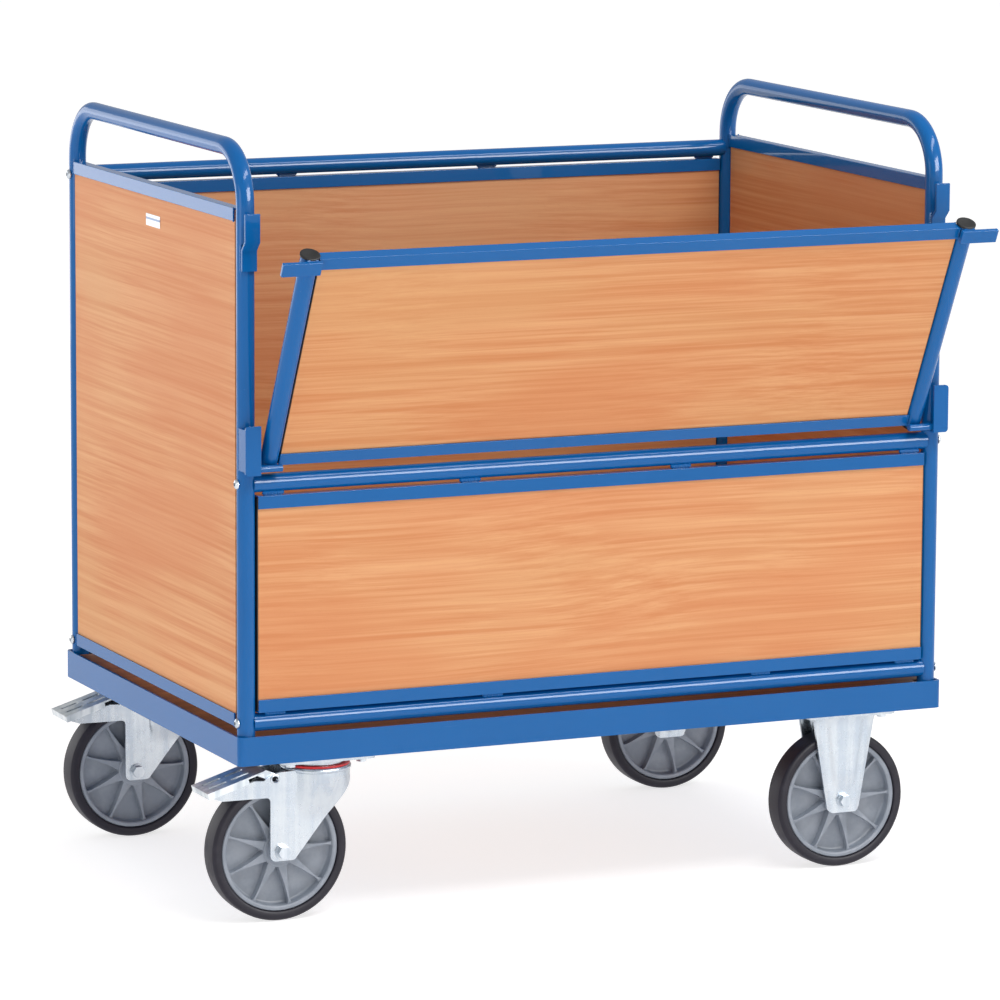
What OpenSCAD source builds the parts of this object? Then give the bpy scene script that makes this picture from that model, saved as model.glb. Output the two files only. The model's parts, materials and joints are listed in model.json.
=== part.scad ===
// Box trolley: platform on four castors, two tube hoops, board walls and a tilting front flap.
// Millimetres, +Z up, X along the platform, -Y is the flap side, floor at Z = 0.

/* [Platform] */
// Length of the platform over the rim, left to right
rim_len = 1085; // [900:5:1500]
// Width of the platform over the rim, front to back
rim_wid = 700; // [580:5:1000]
// Height of the rim angle
rim_h = 40; // [34:1:60]
// Thickness of the rim angle
rim_t = 4; // [3:0.5:5]
// Width of the rim angle's flat leg under the deck
rim_leg = 40; // [34:1:60]
// Deck board thickness
deck_t = 17; // [12:1:20]
// How far the deck sits below the top of the rim
deck_drop = 3; // [1:0.5:6]

/* [Frame] */
// Outer diameter of the round tubes
tube_d = 25; // [21:0.5:32]
// Wall thickness of the round tubes
tube_wall = 2; // [1.5:0.5:3]
// Height of the hoops' top above the floor
hoop_top = 1088; // [920:1:1320]
// Bend radius of the hoops at the tube centre
bend_r = 75; // [50:1:110]
// Gap for the hand between the hoop and the end rail
hand_gap = 66; // [45:1:120]
// Height of the front wall's top tube centre above the deck
front_wall_h = 352; // [290:1:420]
// Thickness of the wall boards
board_t = 11; // [8:1:16]
// Depth of the channels that hold the boards
rail_h = 18; // [14:1:26]
// Sheet thickness of the channels
rail_t = 2; // [1.5:0.5:3]

/* [Flap] */
// How far the flap leans out from upright
flap_tilt = 26.7; // [4:0.1:80]
// Diameter of the flap's pivot pins
pin_d = 10; // [8:0.5:12]
// Height of the flap's top lugs
lug_h = 20; // [14:1:26]

/* [Castors] */
// Wheel diameter
wheel_d = 200; // [160:5:220]
// Tyre width
tyre_w = 40; // [34:1:44]
// Distance from the swivel axis back to the axle
trail = 60; // [50:1:68]
// Distance of the castors from the middle of the platform along X
castor_x = 405; // [300:5:600]
// Distance of the castor centres in from the rim's long sides
castor_in = 62; // [58:1:90]
// Axle diameter
axle_d = 12; // [10:0.5:16]

/* [Hidden] */
$fn = 64;
eps = 1;
fit_gap = 0.3;
run_gap = 0.06;
weld_gap = 0.1;
board_gap = 0.5;

// heights
castor_h = wheel_d + 32;
rim_top = castor_h + rim_h;
deck_top = rim_top - deck_drop;
deck_bot = deck_top - deck_t;
sill_top = castor_h + rim_t;
tube_r = tube_d / 2;
hoop_cz = hoop_top - tube_r;
end_rail_top = hoop_top - tube_d - hand_gap;
back_tube_z = end_rail_top - 7.5 - tube_r;
mid_tube_z = deck_top + front_wall_h;
low_tube_z = deck_top + 8 + tube_r;
end_rail_low = deck_top + 14;
web_gap = 4;
low_web_gap = 2;

// plan positions
post_in = rim_t + 0.5 + tube_r;
post_x = rim_len / 2 - post_in;
post_y = rim_wid / 2 - post_in;
castor_y = rim_wid / 2 - castor_in;
rail_w = board_t + 2 * board_gap + 2 * rail_t;
wall_out = tube_r - rail_w / 2 - 0.5;
wall_y = post_y + wall_out;
wall_x = post_x + wall_out;
saddle = 4;
tube_half = post_x - tube_r + saddle;
rail_half = post_x - tube_r - 1.5;
end_rail_half = post_y - tube_r - 0.5;
board_half = rail_half - 0.5;
end_board_half = end_rail_half - 1.5;
welds_high = [-0.955, -0.383, 0.248, 0.955];
welds_low = [-0.95, -0.313, 0.5, 0.95];
weld_len = 26;

// deck bearers and mounting bolts
bearer_w = 40;
bearer_h = deck_bot - castor_h;
bearer_wall = 2.5;
plate_len = 140;
plate_wid = 110;
plate_t = 5;
bolt_dx = 52.5;
bolt_dy = 40;
bolt_d = 8;
bolt_hole_r = bolt_d / 2 + fit_gap;

// frame bolts through the posts
frame_bolt_r = 4;
frame_hole_r = frame_bolt_r + fit_gap;
button_r = 7;
button_h = 4;

// flap: its own frame is upright, with the pin axis at the origin and the wall side at +Y
pin_r = pin_d / 2;
pocket_gap = pin_d + 5.5;
pocket_back = post_y + tube_r;
pin_y = -(pocket_back + 3.5 + pin_r);
pin_z = mid_tube_z + tube_r + 10;
flap_y = tube_r + pin_r + fit_gap;
flap_in = 31.5;
flap_x = post_x - flap_in;
flap_top = end_rail_top - 17 - pin_z;
cap_t = 3;
cap_r = tube_r + 1.5;
flap_tube_low = cap_t - 9;
flap_tube_high = flap_top - cap_t;
flap_rail_top = flap_top - 4;
flap_rail_low = -3;
flap_rail_half = flap_x - tube_r - 0.2;
flap_board_half = flap_rail_half - 1.3;
lug_t = 6;
lug_top = flap_top - 3.5;
lug_end = post_x + tube_r;
lug_back = flap_y - tube_r - weld_gap;

// hooks and pockets on the front posts
strap_w = 22;
strap_t = 4;
hook_gap = 12;
hook_top = end_rail_top - 4.5;
hook_low = hook_top - 79.5;
joggle_high = pin_z + lug_top - lug_h - 1.5;
joggle_low = joggle_high - hook_gap;
bracket_t = 4;
bracket_in = post_x - 10.5;
bracket_out = post_x + tube_r;
bracket_low = pin_z - pin_r - fit_gap - 2.2;
bracket_high = bracket_low + 68;
bracket_r = 5;

// castors
wheel_r = wheel_d / 2;
head_top = castor_h - plate_t;
crown_top = castor_h - 15.5;
crown_t = 5;
crown_r = 50;
leg_in = tyre_w / 2 + 4;
leg_t = 4;
leg_out = leg_in + leg_t;
king_r = 8;
king_nut_r = 14;
cup_r = 42;
ring_r = 48;
ring_hole_r = 30;
axle_r = axle_d / 2;
axle_hole_r = axle_r + 0.1;
rim_band_r = wheel_r * 0.86;
rim_band_in = wheel_r * 0.79;
hub_r = wheel_r * 0.24;
hub_half = leg_in - fit_gap;
spokes = 9;
spoke_half = tyre_w / 2 - 6;
web_half = 3;
foot_drop = 13;
pedal_x = -trail - 11;
pedal_z = crown_top - 13.5;
pedal_hole_r = 3.6;
stub_r = 4.9;
pedal_tip = -trail - 112;
pedal_tip_z = crown_top - 25.5;
pedal_slope = 17.1;
pedal_len = 89;
pedal_t = 2.5;
pedal_half = leg_out + 4;

label_w = 55;
label_h = 17;
label_t = 0.6;
label_z = end_rail_top - 60;

blue = [0.12, 0.36, 0.64];
beech = [0.85, 0.6, 0.4];
zinc = [0.8, 0.83, 0.86];
grey = [0.55, 0.58, 0.62];
dark = [0.2, 0.2, 0.22];
black = [0.06, 0.06, 0.06];
red = [0.8, 0.1, 0.08];

// ---- helpers ----

// a cylinder along X, centred
module rod_x(r, len) {
    rotate([0, 90, 0])
        cylinder(r = r, h = len, center = true);
}

// a cylinder along Y from y0 to y1
module rod_y(r, y0, y1) {
    translate([0, y1, 0])
        rotate([90, 0, 0])
            cylinder(r = r, h = y1 - y0);
}

// a flat outline in X and Z, thickened along Y from y0 to y1
module slab_y(y0, y1) {
    translate([0, y1, 0])
        rotate([90, 0, 0])
            linear_extrude(y1 - y0)
                children();
}

// a box with four rounded upright edges
module round_box(len, wid, high, r) {
    for (x = [-1, 1], y = [-1, 1])
        translate([x * (len / 2 - r), y * (wid / 2 - r), 0])
            cylinder(r = r, h = high);
    translate([-len / 2, -(wid / 2 - r), 0])
        cube([len, wid - 2 * r, high]);
    translate([-(len / 2 - r), -wid / 2, 0])
        cube([len - 2 * r, wid, high]);
}

// ---- platform ----

module rim_ring() {
    corner_r = 8;
    difference() {
        translate([0, 0, castor_h])
            round_box(rim_len, rim_wid, rim_h, corner_r);
        translate([0, 0, sill_top])
            round_box(rim_len - 2 * rim_t, rim_wid - 2 * rim_t, rim_h, corner_r - rim_t);
        translate([-(rim_len / 2 - rim_leg), -(rim_wid / 2 - rim_leg), castor_h - eps])
            cube([rim_len - 2 * rim_leg, rim_wid - 2 * rim_leg, rim_h]);
        castor_bolt_holes();
    }
}

module castor_bolt_spots() {
    for (x = [-1, 1], y = [-1, 1], i = [-1, 1], j = [-1, 1])
        translate([x * castor_x + i * bolt_dx, y * castor_y + j * bolt_dy, 0])
            children();
}

module castor_bolt_holes() {
    castor_bolt_spots()
        translate([0, 0, castor_h - plate_t - eps])
            cylinder(r = bolt_hole_r, h = plate_t + rim_t + 2 * eps);
}

// the mitred length on the -Y side of a rim len long and wid wide
module mitre(len, wid) {
    deep = rim_leg + 10;
    translate([0, 0, castor_h - eps])
        linear_extrude(rim_h + 2 * eps)
            polygon([
                [-len / 2, -wid / 2], [len / 2, -wid / 2],
                [len / 2 - deep, -wid / 2 + deep], [-len / 2 + deep, -wid / 2 + deep]
            ]);
}

module sill_long() {
    color(blue)
        intersection() {
            rim_ring();
            mitre(rim_len, rim_wid);
        }
}

module sill_short() {
    color(blue)
        intersection() {
            rim_ring();
            rotate([0, 0, -90])
                mitre(rim_wid, rim_len);
        }
}

module sill_front() {
    sill_long();
}

module sill_back() {
    mirror([0, 1, 0])
        sill_long();
}

module sill_left() {
    sill_short();
}

module sill_right() {
    mirror([1, 0, 0])
        sill_short();
}

module bearers() {
    len = rim_wid - 2 * rim_leg - 2 * fit_gap;
    color(blue)
        for (x = [-1, 1], i = [-1, 1])
            difference() {
                translate([x * castor_x + i * 50 - bearer_w / 2, -len / 2, castor_h])
                    cube([bearer_w, len, bearer_h]);
                translate([
                    x * castor_x + i * 50 - bearer_w / 2 + bearer_wall, -len / 2 - eps,
                    castor_h + bearer_wall
                ])
                    cube([bearer_w - 2 * bearer_wall, len + 2 * eps, bearer_h - 2 * bearer_wall]);
                castor_bolt_holes();
            }
}

module deck() {
    len = rim_len - 2 * rim_t - 1;
    wid = rim_wid - 2 * rim_t - 1;
    notch = post_in + tube_r + 1.5;
    color(beech)
        difference() {
            translate([-len / 2, -wid / 2, deck_bot])
                cube([len, wid, deck_t]);
            for (x = [-1, 1], y = [-1, 1])
                translate([x * rim_len / 2, y * rim_wid / 2, deck_bot + deck_t / 2])
                    cube([2 * notch, 2 * notch, deck_t + 2 * eps], center = true);
        }
}

// hex bolts and nuts that hold the castor plates up to the sills and bearers
module mount_bolts() {
    hex_r = 7.5;
    head_h = 5.5;
    nut_h = 6.5;
    color(zinc)
        castor_bolt_spots() {
            translate([0, 0, head_top - head_h])
                cylinder(r = hex_r, h = head_h, $fn = 6);
            translate([0, 0, head_top - eps])
                cylinder(r = bolt_d / 2, h = plate_t + rim_t + nut_h + eps);
            translate([0, 0, sill_top])
                cylinder(r = hex_r, h = nut_h, $fn = 6);
        }
}

// ---- frame ----

// the bent path of a hoop, as a solid rod of radius r
module hoop_path(r, low) {
    for (s = [0, 1])
        mirror([0, s, 0]) {
            translate([0, post_y, low])
                cylinder(r = r, h = hoop_cz - bend_r - low);
            translate([0, post_y - bend_r, hoop_cz - bend_r])
                rotate([0, 90, 0])
                    rotate([0, 0, 90])
                        rotate_extrude(angle = 90)
                            translate([bend_r, 0])
                                circle(r = r);
        }
    translate([0, 0, hoop_cz])
        rod_y(r, -(post_y - bend_r), post_y - bend_r);
}

module frame_bolt_spots() {
    for (x = [-1, 1]) {
        translate([x * post_x, -post_y, mid_tube_z])
            children();
        translate([x * post_x, post_y, back_tube_z])
            children();
        for (y = [-1, 1])
            translate([x * post_x, y * post_y, low_tube_z])
                children();
    }
}

module hoop() {
    color(blue)
        difference() {
            translate([-post_x, 0, 0])
                hoop_path(tube_r, sill_top);
            translate([-post_x, 0, 0])
                hoop_path(tube_r - tube_wall, sill_top - eps);
            frame_bolt_spots()
                rod_x(frame_hole_r, 4 * tube_d);
        }
}

module hoop_left() {
    hoop();
}

module hoop_right() {
    mirror([1, 0, 0])
        hoop();
}

// a wall tube along X at height z on the side y, coped round the posts and plugged at the ends
module wall_tube(y, z) {
    plug = 20;
    color(blue)
        difference() {
            translate([0, y, z])
                rod_x(tube_r, 2 * tube_half);
            translate([0, y, z])
                rod_x(tube_r - tube_wall, 2 * (tube_half - plug));
            translate([0, y, z])
                rod_x(frame_hole_r, 2 * tube_half + 2);
            for (x = [-1, 1])
                translate([x * post_x, y, z - tube_d])
                    cylinder(r = tube_r + 0.2, h = 2 * tube_d);
        }
}

module back_tube() {
    wall_tube(post_y, back_tube_z);
}

module front_tube() {
    wall_tube(-post_y, mid_tube_z);
}

module low_tubes() {
    for (y = [-1, 1])
        wall_tube(y * post_y, low_tube_z);
}

// a channel along X with its web on top at z = 0
module channel_x(len) {
    translate([-len / 2, -rail_w / 2, -rail_t])
        cube([len, rail_w, rail_t]);
    for (s = [0, 1])
        mirror([0, s, 0])
            translate([-len / 2, rail_w / 2 - rail_t, -rail_h])
                cube([len, rail_t, rail_h]);
}

// a front wall channel, web up, with stitch welds up to the tube above it
module welded_rail(spots, gap) {
    bead_w = 5;
    channel_x(2 * rail_half);
    difference() {
        for (s = spots)
            translate([s * rail_half - weld_len / 2, -bead_w, -weld_gap])
                cube([weld_len, bead_w, gap + 2]);
        translate([0, wall_out, gap + tube_r])
            rod_x(tube_r + weld_gap, 2 * rail_half + 2);
    }
}

module front_rail() {
    color(blue)
        translate([0, -wall_y, mid_tube_z - tube_r - web_gap])
            welded_rail(welds_high, web_gap);
}

module back_rail() {
    color(blue)
        mirror([0, 1, 0])
            translate([0, -wall_y, back_tube_z - tube_r - web_gap])
                welded_rail(welds_high, web_gap);
}

module low_rails() {
    color(blue)
        for (s = [0, 1])
            mirror([0, s, 0])
                translate([0, -wall_y, low_tube_z + tube_r + low_web_gap])
                    mirror([0, 0, 1])
                        welded_rail(welds_low, low_web_gap);
}

// a board along X between two channel webs
module wall_board(low, high) {
    translate([-board_half, -board_t / 2, low + rail_t + board_gap])
        cube([2 * board_half, board_t, high - low - 2 * rail_t - 2 * board_gap]);
}

module front_board() {
    color(beech)
        translate([0, -wall_y, 0])
            wall_board(low_tube_z + tube_r + low_web_gap, mid_tube_z - tube_r - web_gap);
}

module back_board() {
    color(beech)
        translate([0, wall_y, 0])
            wall_board(low_tube_z + tube_r + low_web_gap, back_tube_z - tube_r - web_gap);
}

module end_rail(z, up) {
    color(blue)
        translate([0, 0, z])
            mirror([0, 0, up])
                rotate([0, 0, 90])
                    channel_x(2 * end_rail_half);
}

module end_rail_left_top() {
    translate([-wall_x, 0, 0])
        end_rail(end_rail_top, 0);
}

module end_rail_left_low() {
    translate([-wall_x, 0, 0])
        end_rail(end_rail_low, 1);
}

module end_rail_right_top() {
    translate([wall_x, 0, 0])
        end_rail(end_rail_top, 0);
}

module end_rail_right_low() {
    translate([wall_x, 0, 0])
        end_rail(end_rail_low, 1);
}

module end_board() {
    low = end_rail_low + rail_t + board_gap;
    high = end_rail_top - rail_t - board_gap;
    color(beech)
        translate([-board_t / 2, -end_board_half, low])
            cube([board_t, 2 * end_board_half, high - low]);
}

module end_board_left() {
    translate([-wall_x, 0, 0])
        end_board();
}

module end_board_right() {
    translate([wall_x, 0, 0])
        end_board();
}

// button-head bolts through the posts into the wall tubes
module frame_bolts() {
    shank = tube_d + 18;
    color(zinc)
        for (s = [0, 1])
            mirror([s, 0, 0])
                for (spot = [
                    [-post_y, mid_tube_z], [post_y, back_tube_z],
                    [-post_y, low_tube_z], [post_y, low_tube_z]
                ])
                    translate([-post_x - tube_r - weld_gap, spot[0], spot[1]])
                        rotate([0, 90, 0]) {
                            cylinder(r = frame_bolt_r, h = shank);
                            difference() {
                                translate([0, 0, -button_h])
                                    cylinder(r1 = button_r - 2, r2 = button_r, h = button_h);
                                translate([0, 0, -button_h - eps])
                                    cylinder(r = 2.6, h = 2.2 + eps, $fn = 6);
                            }
                        }
}

// joggled straps that take the flap's top lugs
module hooks() {
    back = -(pocket_back + weld_gap);
    out = back - hook_gap;
    color(blue)
        for (x = [-1, 1])
            translate([x * post_x - strap_w / 2, 0, 0])
                rotate([90, 0, 90])
                    linear_extrude(strap_w)
                        polygon([
                            [back, hook_low], [back, joggle_low], [out, joggle_high],
                            [out, hook_top], [out - strap_t, hook_top],
                            [out - strap_t, joggle_high - 1.7], [back - strap_t, joggle_low - 1.7],
                            [back - strap_t, hook_low]
                        ]);
}

// tall pockets that hold the flap's pivot pins
module brackets() {
    front = -(pocket_back + pocket_gap);
    high = bracket_high - bracket_low;
    color(blue)
        for (s = [0, 1])
            mirror([s, 0, 0]) {
                slab_y(front - bracket_t, front) {
                    translate([bracket_in, bracket_low])
                        square([bracket_out - bracket_r - bracket_in, high]);
                    translate([bracket_in, bracket_low + bracket_r])
                        square([bracket_out - bracket_in, high - 2 * bracket_r]);
                    for (z = [bracket_low + bracket_r, bracket_high - bracket_r])
                        translate([bracket_out - bracket_r, z])
                            circle(r = bracket_r);
                }
                difference() {
                    translate([bracket_out - bracket_t, front - eps, bracket_low + bracket_r])
                        cube([bracket_t, 24 + eps, high - 2 * bracket_r]);
                    translate([post_x, -post_y, bracket_low])
                        cylinder(r = tube_r + weld_gap, h = high);
                }
                translate([bracket_in, front - eps, bracket_low])
                    cube([bracket_out - bracket_r - bracket_in, pocket_gap + eps - 0.5, 2.2]);
            }
}

module label() {
    color(zinc)
        translate([-wall_x - board_t / 2 - label_t - weld_gap / 2, -label_w / 2 - 5, label_z])
            cube([label_t, label_w, label_h]);
}

// ---- flap ----

module flap_place() {
    translate([0, pin_y, pin_z])
        rotate([flap_tilt, 0, 0])
            children();
}

module flap_tube(x) {
    high = flap_tube_high - flap_tube_low;
    color(blue)
        flap_place()
            translate([x, flap_y, flap_tube_low])
                difference() {
                    cylinder(r = tube_r, h = high);
                    translate([0, 0, -eps])
                        cylinder(r = tube_r - tube_wall, h = high + 2 * eps);
                }
}

module flap_tube_left() {
    flap_tube(-flap_x);
}

module flap_tube_right() {
    flap_tube(flap_x);
}

module flap_rail_top() {
    color(blue)
        flap_place()
            translate([0, flap_y, flap_rail_top])
                channel_x(2 * flap_rail_half);
}

module flap_rail_low() {
    color(blue)
        flap_place()
            translate([0, flap_y, flap_rail_low])
                mirror([0, 0, 1])
                    channel_x(2 * flap_rail_half);
}

module flap_board() {
    low = flap_rail_low + rail_t + board_gap;
    high = flap_rail_top - rail_t - board_gap;
    color(beech)
        flap_place()
            translate([-flap_board_half, flap_y - board_t / 2, low])
                cube([2 * flap_board_half, board_t, high - low]);
}

// a plastic plug with its flange below z = 0 and its stem above
module end_cap() {
    bevel = 1;
    translate([0, 0, -cap_t])
        cylinder(r1 = cap_r - bevel, r2 = cap_r, h = bevel);
    translate([0, 0, bevel - cap_t])
        cylinder(r = cap_r, h = cap_t - bevel);
    cylinder(r = tube_r - tube_wall - weld_gap, h = 12);
}

module flap_caps() {
    color(black)
        flap_place()
            for (x = [-1, 1]) {
                translate([x * flap_x, flap_y, flap_tube_low])
                    end_cap();
                translate([x * flap_x, flap_y, flap_tube_high])
                    mirror([0, 0, 1])
                        end_cap();
            }
}

module flap_lugs() {
    start = flap_x - tube_r;
    color(blue)
        flap_place()
            for (s = [0, 1])
                mirror([s, 0, 0])
                    translate([start, lug_back - lug_t, lug_top - lug_h])
                        cube([lug_end - start, lug_t, lug_h]);
}

module flap_pins() {
    start = flap_x - tube_r - 1;
    end = bracket_out - bracket_t - 1.5;
    color(blue)
        for (x = [-1, 1])
            translate([x * (start + end) / 2, pin_y, pin_z])
                rod_x(pin_r, end - start);
}

// ---- castors ----

module castor_plate_body() {
    round_r = 10;
    difference() {
        translate([0, 0, head_top])
            round_box(plate_len, plate_wid, plate_t, round_r);
        for (i = [-1, 1], j = [-1, 1])
            translate([i * bolt_dx, j * bolt_dy, head_top - eps])
                cylinder(r = bolt_hole_r, h = plate_t + 2 * eps);
    }
}

// top plate with the upper race and the king pin that the fork turns on
module swivel_plate() {
    king_low = crown_top - crown_t - 7.3;
    color(zinc) {
        castor_plate_body();
        translate([0, 0, crown_top + 3.5])
            cylinder(r = cup_r, h = head_top - crown_top - 3.5 + eps);
        translate([0, 0, king_low])
            cylinder(r = king_r, h = head_top - king_low);
        translate([0, 0, king_low])
            cylinder(r = king_nut_r, h = 7);
    }
}

// the side of a swivel fork: leg, crown edge and the arm that carries the brake pedal
module fork_side() {
    foot = wheel_r - foot_drop;
    round_r = 8;
    arm_low = crown_top - 39;
    arm_inner = -trail - 18;
    difference() {
        union() {
            polygon([
                [41, crown_top], [41, crown_top - 15], [-trail + 20.5, foot + 3.3],
                [-trail + 14, foot], [-trail - 10, foot], [arm_inner, foot + round_r],
                [arm_inner, arm_low], [-trail - 89, arm_low + 0.5], [-trail - 104, arm_low + 6],
                [-trail - 42, arm_low + 25], [-trail - 6, crown_top]
            ]);
            translate([-trail - 10, foot + round_r])
                circle(r = round_r);
            translate([-trail + 14, foot + round_r])
                circle(r = round_r);
            difference() {
                translate([arm_inner - 6, arm_low - 6])
                    square([7, 7]);
                translate([arm_inner - 6, arm_low - 6])
                    circle(r = 6);
            }
        }
        translate([-trail, wheel_r])
            circle(r = axle_hole_r);
        translate([pedal_x, pedal_z])
            circle(r = pedal_hole_r);
    }
}

module swivel_fork() {
    nose_h = 15;
    nose_t = 4;
    color(zinc) {
        for (s = [0, 1])
            mirror([0, s, 0]) {
                slab_y(-leg_out, -leg_in)
                    fork_side();
                // hollow rivet that the pedal rocks on
                translate([pedal_x, 0, pedal_z])
                    difference() {
                        union() {
                            rod_y(6.5, -leg_out - 1, -leg_out + eps);
                            rod_y(stub_r, -leg_in - eps, -leg_in + 2.8);
                        }
                        rod_y(pedal_hole_r, -leg_out - 2, -leg_in + 4);
                    }
            }
        difference() {
            union() {
                translate([0, 0, crown_top - crown_t])
                    cylinder(r = crown_r, h = crown_t);
                translate([-trail - 6, -leg_in - eps, crown_top - crown_t])
                    cube([trail + 6, 2 * leg_in + 2 * eps, crown_t]);
                intersection() {
                    difference() {
                        translate([0, 0, crown_top - nose_h])
                            cylinder(r = crown_r, h = nose_h);
                        translate([0, 0, crown_top - nose_h - eps])
                            cylinder(r = crown_r - nose_t, h = nose_h);
                    }
                    translate([10, -crown_r, crown_top - 2 * nose_h])
                        cube([crown_r, 2 * crown_r, 2 * nose_h]);
                }
            }
            translate([0, 0, crown_top - 2 * crown_t])
                cylinder(r = king_r + run_gap, h = 3 * crown_t);
        }
    }
}

module seal_ring() {
    color(red)
        difference() {
            translate([0, 0, crown_top + weld_gap])
                cylinder(r = ring_r, h = 2.6);
            translate([0, 0, crown_top])
                cylinder(r = ring_hole_r, h = 4);
        }
}

// folded pedal: sloping tread with slots, side skirts, end lip and two ears round the rivets
module brake_pedal() {
    ear_out = leg_in - 0.4;
    ear_t = 2;
    skirt_len = 62;
    skirt_h = 7;
    skirt_t = 2;
    slot_r = 3;
    slot_len = 22;
    color(zinc) {
        translate([pedal_tip, 0, pedal_tip_z])
            rotate([0, -pedal_slope, 0]) {
                difference() {
                    translate([0, -pedal_half, -pedal_t])
                        cube([pedal_len, 2 * pedal_half, pedal_t]);
                    for (x = [12, 46], y = [-12, 12])
                        translate([x, y, -pedal_t - eps]) {
                            cylinder(r = slot_r, h = pedal_t + 2 * eps);
                            translate([slot_len, 0, 0])
                                cylinder(r = slot_r, h = pedal_t + 2 * eps);
                            translate([0, -slot_r, 0])
                                cube([slot_len, 2 * slot_r, pedal_t + 2 * eps]);
                        }
                }
                for (s = [0, 1])
                    mirror([0, s, 0])
                        translate([0, pedal_half - skirt_t, -pedal_t - skirt_h])
                            cube([skirt_len, skirt_t, skirt_h + eps]);
                translate([0, -pedal_half, -pedal_t - skirt_h])
                    cube([skirt_t, 2 * pedal_half, skirt_h + eps]);
            }
        for (s = [0, 1])
            mirror([0, s, 0])
                slab_y(-ear_out, -ear_out + ear_t)
                    difference() {
                        union() {
                            translate([pedal_x, pedal_z])
                                circle(r = 8);
                            polygon([
                                [pedal_x - 8, pedal_z - 1], [pedal_x + 4, pedal_z + 6],
                                [pedal_x - 13, pedal_z + 13.5], [pedal_x - 30, pedal_z + 8.2]
                            ]);
                        }
                        translate([pedal_x, pedal_z])
                            circle(r = stub_r + run_gap);
                    }
    }
}

// axle bolt with washers, hex head and nut
module axle_set() {
    washer_r = 11;
    washer_t = 1.6;
    hex_r = 9.2;
    head_h = 7.5;
    nut_h = 9;
    reach = leg_out + weld_gap;
    color(zinc) {
        rod_y(axle_r, -reach - washer_t, reach + washer_t + nut_h + 3);
        for (s = [0, 1])
            mirror([0, s, 0])
                rod_y(washer_r, -reach - washer_t, -reach);
        translate([0, -reach - washer_t, 0])
            rotate([90, 0, 0])
                cylinder(r = hex_r, h = head_h, $fn = 6);
        translate([0, reach + washer_t + nut_h, 0])
            rotate([90, 0, 0])
                cylinder(r = hex_r, h = nut_h, $fn = 6);
    }
}

// wheel centre: bored hub, thin web, tapered spokes on both sides and an outer band
module wheel_centre() {
    band_half = tyre_w / 2 - 2.5;
    color(grey)
        difference() {
            union() {
                rod_y(hub_r, -hub_half, hub_half);
                rod_y(rim_band_in + eps, -web_half, web_half);
                difference() {
                    rod_y(rim_band_r, -band_half, band_half);
                    rod_y(rim_band_in, -tyre_w, tyre_w);
                }
                for (i = [0:spokes - 1])
                    rotate([0, i * 360 / spokes + 10, 0])
                        slab_y(-spoke_half, spoke_half)
                            polygon([
                                [-7, hub_r - 4], [7, hub_r - 4],
                                [2.2, rim_band_in + eps], [-2.2, rim_band_in + eps]
                            ]);
            }
            rod_y(axle_r + run_gap, -tyre_w, tyre_w);
        }
}

module tyre() {
    shoulder = min(7, (wheel_r - rim_band_r) / 2);
    half = tyre_w / 2;
    color(dark)
        rotate([90, 0, 0])
            rotate_extrude() {
                translate([rim_band_r + 0.15, -half])
                    square([wheel_r - shoulder - rim_band_r - 0.15, tyre_w]);
                translate([rim_band_r + 0.15, -half + shoulder])
                    square([wheel_r - rim_band_r - 0.15, tyre_w - 2 * shoulder]);
                for (y = [-1, 1])
                    translate([wheel_r - shoulder, y * (half - shoulder)])
                        circle(r = shoulder);
            }
}

// fixed castor: plate and fork pressed and welded as one
module fixed_fork() {
    round_r = 10;
    foot = wheel_r - 18;
    foot_half = 26;
    top_half = 50;
    pad_t = 1.2;
    pad_half = 19;
    color(zinc) {
        castor_plate_body();
        translate([-top_half, -leg_out, head_top - crown_t])
            cube([2 * top_half, 2 * leg_out, crown_t + eps]);
        for (s = [0, 1])
            mirror([0, s, 0])
                difference() {
                    union() {
                        slab_y(-leg_out, -leg_in) {
                            polygon([
                                [-top_half, head_top], [top_half, head_top],
                                [foot_half, foot + round_r], [foot_half - round_r, foot],
                                [round_r - foot_half, foot], [-foot_half, foot + round_r]
                            ]);
                            for (x = [-1, 1])
                                translate([x * (foot_half - round_r), foot + round_r])
                                    circle(r = round_r);
                        }
                        slab_y(-leg_out - pad_t, -leg_out + eps)
                            polygon([
                                [-pad_half, wheel_r + 20], [pad_half, wheel_r + 20],
                                [pad_half + 6, head_top - 12], [-pad_half - 6, head_top - 12]
                            ]);
                    }
                    translate([0, 0, wheel_r])
                        rod_y(axle_hole_r, -2 * leg_out, 0);
                }
    }
}

module at_swivel(side) {
    translate([-castor_x, side * castor_y, 0])
        children();
}

module at_swivel_wheel(side) {
    translate([-castor_x - trail, side * castor_y, wheel_r])
        children();
}

module at_fixed(side) {
    translate([castor_x, side * castor_y, 0])
        children();
}

module at_fixed_wheel(side) {
    translate([castor_x, side * castor_y, wheel_r])
        children();
}

module plate_front() {
    at_swivel(-1)
        swivel_plate();
}

module plate_back() {
    at_swivel(1)
        swivel_plate();
}

module fork_front() {
    at_swivel(-1)
        swivel_fork();
}

module fork_back() {
    at_swivel(1)
        swivel_fork();
}

module ring_front() {
    at_swivel(-1)
        seal_ring();
}

module ring_back() {
    at_swivel(1)
        seal_ring();
}

module pedal_front() {
    at_swivel(-1)
        brake_pedal();
}

module pedal_back() {
    at_swivel(1)
        brake_pedal();
}

module axle_front() {
    at_swivel_wheel(-1)
        axle_set();
}

module axle_back() {
    at_swivel_wheel(1)
        axle_set();
}

module wheel_front() {
    at_swivel_wheel(-1)
        wheel_centre();
}

module wheel_back() {
    at_swivel_wheel(1)
        wheel_centre();
}

module tyre_front() {
    at_swivel_wheel(-1)
        tyre();
}

module tyre_back() {
    at_swivel_wheel(1)
        tyre();
}

module fixed_fork_front() {
    at_fixed(-1)
        fixed_fork();
}

module fixed_fork_back() {
    at_fixed(1)
        fixed_fork();
}

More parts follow.
